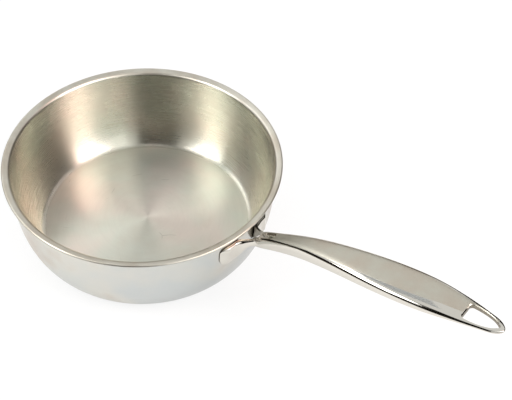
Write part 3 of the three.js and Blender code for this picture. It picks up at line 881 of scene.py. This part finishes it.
def painted_floor(colours):
    """Matt white paint: it takes a soft shadow and otherwise stays white to the camera and in the steel."""
    # The paint's texture is some 0.5 mm wide, too fine to show, so it is drawn 2.5 mm wide.
    material, tree = new_material("studio floor, painted")
    place = add_node(tree, "TexCoord").outputs["Object"]
    speckle = add_node(tree, "TexNoise", {"Vector": place, "Scale": 400, "Detail": 2})
    tones = [(0.3, linear("#e9e9e8")), (0.7, list(colours.floor))]
    tone = add_node(tree, "ValToRGB", {0: speckle.outputs["Fac"]}, stops=tones)
    paint = add_node(tree, "BsdfDiffuse", {"Color": tone.outputs[0]})
    glow = add_node(tree, "Emission", {"Color": linear("#ffffff"), "Strength": 1})
    rays = add_node(tree, "LightPath")
    # The steel sees less of the glow than the camera does, and nothing else sees any.
    mirrored = add_node(tree, "Math", {0: rays.outputs["Is Glossy Ray"], 1: 0.38}, operation="MULTIPLY")
    seen = add_node(
        tree, "Math", {0: rays.outputs["Is Camera Ray"], 1: mirrored.outputs[0]}, operation="MAXIMUM"
    )
    share = add_node(tree, "Math", {0: seen.outputs[0], 1: 0.8}, operation="MULTIPLY")
    shader = add_node(tree, "MixShader", {0: share.outputs[0], 1: paint.outputs[0], 2: glow.outputs[0]})
    add_node(tree, "OutputMaterial", {"Surface": shader.outputs[0]})
    return material


def studio_cloth(name, dark, light):
    """Woven cotton or pressed felt, black or grey: it gives the steel a darker place to mirror."""
    # Threads and fibres are under 0.5 mm wide, too fine to show, so they are drawn 3 mm wide.
    material, tree = new_material(name)
    place = add_node(tree, "TexCoord").outputs["Object"]
    weave = add_node(tree, "TexNoise", {"Vector": place, "Scale": 300, "Detail": 2})
    tones = [(0.3, linear(dark)), (0.7, linear(light))]
    tone = add_node(tree, "ValToRGB", {0: weave.outputs["Fac"]}, stops=tones)
    cloth = add_node(tree, "BsdfDiffuse", {"Color": tone.outputs[0]})
    add_node(tree, "OutputMaterial", {"Surface": cloth.outputs[0]})
    return material


def arc(low, high, distance):
    """Points (distance from the axis, height) on an upright arc between elevations in degrees."""
    rows = 8
    angles = [math.radians(low + (high - low) * row / rows) for row in range(rows + 1)]
    return [(distance * math.cos(angle), distance * math.sin(angle)) for angle in angles]


def flag_panel(name, azimuths, profile, material):
    """A cloth swept round the pan between azimuths in degrees, which only reflections show."""
    columns = 12
    first, last = azimuths
    turns = [math.radians(first + (last - first) * column / columns) for column in range(columns + 1)]
    bm = bmesh.new()
    lines = []
    for reach, height in profile:
        points = [Vector((reach * math.cos(turn), reach * math.sin(turn), height)) for turn in turns]
        lines.append(add_ring(bm, points))
    for lower, upper in zip(lines, lines[1:]):
        bridge(bm, lower, upper, closed=False)
    panel = mesh_object(name, bm, 30)
    panel.data.materials.append(material)
    panel.visible_camera = False
    panel.visible_shadow = False
    panel.visible_diffuse = False


def area_light(name, azimuth, elevation, distance, width, height, power, hex_colour):
    """A soft box that faces the pan from an azimuth and an elevation in degrees."""
    az = math.radians(azimuth)
    el = math.radians(elevation)
    out = Vector((math.cos(el) * math.cos(az), math.cos(el) * math.sin(az), math.sin(el)))
    data = bpy.data.lights.new(name, "AREA")
    data.shape = "RECTANGLE"
    data.size = width
    data.size_y = height
    data.energy = power
    data.color = linear(hex_colour)[:3]
    lamp = bpy.data.objects.new(name, data)
    aim = Vector((0.02, 0, 0.05))
    lamp.location = aim + out * distance
    lamp.rotation_euler = (-out).to_track_quat("-Z", "Y").to_euler()
    bpy.context.scene.collection.objects.link(lamp)


def dress(piece, material, node):
    """Gives a piece its material and lets it stand for a CAD node."""
    piece.data.materials.clear()
    piece.data.materials.append(material)
    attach(piece, "root")
    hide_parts(node)


class PAN_OT_clad_body(bpy.types.Operator):
    """Build the pressed clad body: inner steel liner, aluminium core and outer steel shell"""

    bl_idname = "frying_pan.clad_body"
    bl_label = "Clad Body"

    def execute(self, context):
        sizes = context.scene.pan_body_sizes
        colours = context.scene.pan_colours
        sheet = Sheet(sizes)
        half = sheet.thickness / 2
        quarter = math.pi / 2
        liner = sheet.layer(sizes.liner) + [sheet.seam(half)] + sheet.rim(quarter, 0) + sheet.layer(0)[::-1]
        core = sheet.layer(sizes.liner + sizes.core) + sheet.layer(sizes.liner)[::-1]
        shell = sheet.layer(sheet.thickness) + sheet.rim(2 * quarter, quarter)
        shell += [sheet.seam(half)] + sheet.layer(sizes.liner + sizes.core)[::-1]
        layers = (
            ("brushed_liner", liner, brushed_wall_with_painted_shade(colours), "inner_steel_liner", "liner_steel"),
            ("rolled_core", core, rolled_aluminium(colours), "aluminium_core", "core_aluminium"),
            ("polished_shell", shell, polished_shell(colours), "outer_steel_shell", "shell_steel"),
        )
        for name, outline, material, node, slot in layers:
            piece = turned(name, outline, sizes.sides)
            dress(piece, material, node)
            if name == "brushed_liner":
                self.finish_lip_and_floor(piece, sheet, polished_lip(colours), brushed_floor(colours))
        return {"FINISHED"}

    def finish_lip_and_floor(self, piece, sheet, lip, floor):
        """Gives the bend and the lip, above the upright wall, and the flat floor finishes of their own."""
        piece.data.materials.append(lip)
        piece.data.materials.append(floor)
        wall_head = next(point for point, outward, heading in sheet.stations if point.x >= sheet.wall_radius)
        floor_top = 4 * MM
        for face in piece.data.polygons:
            middle = face.center
            radius = math.hypot(middle.x, middle.y)
            if radius > sheet.wall_radius + 0.3 * MM and middle.z > wall_head.y:
                face.material_index = 1
            elif radius < sheet.floor_radius and middle.z < floor_top:
                face.material_index = 2


class PAN_OT_handle(bpy.types.Operator):
    """Build the cast handle: grip, fork and pads in one casting, with its hang hole"""

    bl_idname = "frying_pan.handle"
    bl_label = "Cast Handle"

    def execute(self, context):
        handle = Handle(context.scene.pan_handle_sizes, context.scene.pan_body_sizes)
        cage = mesh_object("handle_cage", handle_cage(handle), 180)
        rounding = cage.modifiers.new("rounding", "SUBSURF")
        rounding.levels = 3
        rounding.render_levels = 3
        cutter = hole_cutter(handle)
        hole = cage.modifiers.new("hang hole", "BOOLEAN")
        hole.object = cutter
        hole.operation = "DIFFERENCE"
        hole.solver = "EXACT"
        casting = applied(cage, "cast_grip_and_fork")
        bpy.data.objects.remove(cutter)
        casting.data.shade_smooth()
        casting.data.set_sharp_from_angle(angle=math.radians(28))
        mark_satin(handle, casting.data)
        dress(casting, cast_steel(context.scene.pan_colours), "cast_handle")
        casting.data.materials.append(ground_hole_with_painted_shade(context.scene.pan_colours))
        self.finish_hole(handle, casting.data)
        return {"FINISHED"}

    def finish_hole(self, handle, mesh):
        """Gives the upright faces inside the hang hole a finish of their own, ground and painted dark for
        the shade there.
        """
        sizes = handle.sizes
        start = handle.reach - sizes.hole_setback
        middle = handle.share_at(start + sizes.hole_length / 2)
        centre, tangent, upward, half_width, depth = handle.grip_station(middle)
        for face in mesh.polygons:
            along = face.center.x - start
            inwards = (centre - face.center).dot(face.normal)
            at_length = -MM < along < sizes.hole_length + MM
            at_width = abs(face.center.y) < sizes.hole_width / 2 + 0.3 * MM
            upright = abs(face.normal.dot(upward)) < 0.4
            if at_length and at_width and upright and inwards > 0:
                face.material_index = 1


class PAN_OT_welds(bpy.types.Operator):
    """Finish the weld spots that bridge the gap between the pads and the wall"""

    bl_idname = "frying_pan.welds"
    bl_label = "Weld Spots"

    def execute(self, context):
        metal = weld_metal(context.scene.pan_colours)
        for name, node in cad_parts.items():
            if name.startswith("weld_spot"):
                node.data.materials.clear()
                node.data.materials.append(metal)
        return {"FINISHED"}


class PAN_OT_studio(bpy.types.Operator):
    """Set up the floor, the flags, the lamps, the world and the camera"""

    bl_idname = "frying_pan.studio"
    bl_label = "Studio"

    def execute(self, context):
        scene = context.scene
        scene.view_settings.view_transform = "Standard"
        bm = bmesh.new()
        half_floor = 4
        bmesh.ops.create_grid(bm, x_segments=8, y_segments=8, size=half_floor)
        floor = mesh_object("studio_floor", bm, 30)
        floor.data.materials.append(painted_floor(scene.pan_colours))

        cotton = studio_cloth("studio flag, black cotton", "#12100e", "#1a1714")
        felt = studio_cloth("studio flag, grey felt", "#5a534a", "#6b6459")
        scrim = studio_cloth("studio scrim, grey cotton", "#b4babf", "#c0c5ca")
        table_end = [(0.55, MM), (1.9, MM)]
        for name, azimuths, profile, cloth in (
            ("flag_behind_camera", (277, 321), arc(0, 62, 0.65), cotton),
            ("flag_overhead", (228, 330), arc(60, 79, 1.5), cotton),
            ("flag_low_left", (165, 224), arc(0, 22, 1.9), cotton),
            ("flag_left", (224, 277), arc(0, 28, 1.9), cotton),
            ("flag_low_right", (321, 345), arc(0, 13, 1.9), cotton),
            ("flag_right", (32, 98), arc(0, 44, 1.9), cotton),
            ("flag_behind", (98, 165), arc(0, 17, 1.9), felt),
            ("flag_table_end", (0, 360), table_end, felt),
            ("scrim_overhead", (108, 178), arc(56, 69, 1.15), scrim),
        ):
            flag_panel(name, azimuths, profile, cloth)
        for name, azimuth, elevation, distance, width, height, power, hex_colour in (
            ("near_soft_box", 346, 40, 1.6, 0.7, 1.1, 3, "#ffffff"),
            ("key_soft_box", 13.5, 40, 1.6, 0.59, 1.05, 11.4, "#fffdfc"),
            ("pink_soft_box", 28, 48, 1.6, 0.24, 0.8, 2.5, "#ffb9b6"),
            ("fill_soft_box", 240.5, 41.5, 0.75, 0.32, 0.44, 2.7, "#ffffff"),
            ("back_soft_box", 178, 46, 1.6, 1, 0.44, 2.5, "#ffffff"),
        ):
            area_light(name, azimuth, elevation, distance, width, height, power, hex_colour)

        world = bpy.data.worlds.new("studio_world")
        scene.world = world
        world.use_nodes = True
        tree = world.node_tree
        tree.nodes.clear()
        sky = add_node(tree, "Background", {"Color": linear("#f7f7f6"), "Strength": 1})
        add_node(tree, "OutputWorld", {"Surface": sky.outputs[0]})

        # The camera looks down at the pan from beside the handle, with a slight roll.
        data = bpy.data.cameras.new("photo_camera")
        data.lens = 63.18
        data.sensor_width = 36
        data.clip_start = 0.01
        camera = bpy.data.objects.new("photo_camera", data)
        right = Vector((0.77857, 0.62597, 0.04486))
        up = Vector((-0.48533, 0.55526, 0.67539))
        back = right.cross(up)
        turn = Matrix((right, up, back)).transposed().to_4x4()
        camera.matrix_world = Matrix.Translation((0.38396, -0.36741, 0.60233)) @ turn
        scene.collection.objects.link(camera)
        scene.camera = camera
        return {"FINISHED"}


class VIEW3D_PT_deep_frying_pan(bpy.types.Panel):
    """Sizes, colours and build steps of the frying pan"""

    bl_label = "Deep Frying Pan"
    bl_space_type = "VIEW_3D"
    bl_region_type = "UI"
    bl_category = "Frying Pan"

    def draw(self, context):
        for title, group, operators in (
            ("Body", context.scene.pan_body_sizes, (PAN_OT_clad_body,)),
            ("Handle", context.scene.pan_handle_sizes, (PAN_OT_handle, PAN_OT_welds)),
            ("Colours", context.scene.pan_colours, (PAN_OT_studio,)),
        ):
            box = self.layout.box()
            box.label(text=title)
            for name in group.__annotations__:
                box.prop(group, name)
            for operator in operators:
                box.operator(operator.bl_idname)


CLASSES = (
    PanBodySizes,
    HandleSizes,
    PanColours,
    PAN_OT_clad_body,
    PAN_OT_handle,
    PAN_OT_welds,
    PAN_OT_studio,
    VIEW3D_PT_deep_frying_pan,
)


def register():
    for kind in CLASSES:
        bpy.utils.register_class(kind)
    bpy.types.Scene.pan_body_sizes = PointerProperty(type=PanBodySizes)
    bpy.types.Scene.pan_handle_sizes = PointerProperty(type=HandleSizes)
    bpy.types.Scene.pan_colours = PointerProperty(type=PanColours)


def unregister():
    del bpy.types.Scene.pan_colours
    del bpy.types.Scene.pan_handle_sizes
    del bpy.types.Scene.pan_body_sizes
    for kind in reversed(CLASSES):
        bpy.utils.unregister_class(kind)


def main():
    register()
    bpy.ops.frying_pan.clad_body()
    bpy.ops.frying_pan.handle()
    bpy.ops.frying_pan.welds()
    bpy.ops.frying_pan.studio()


if __name__ == "__main__":
    main()
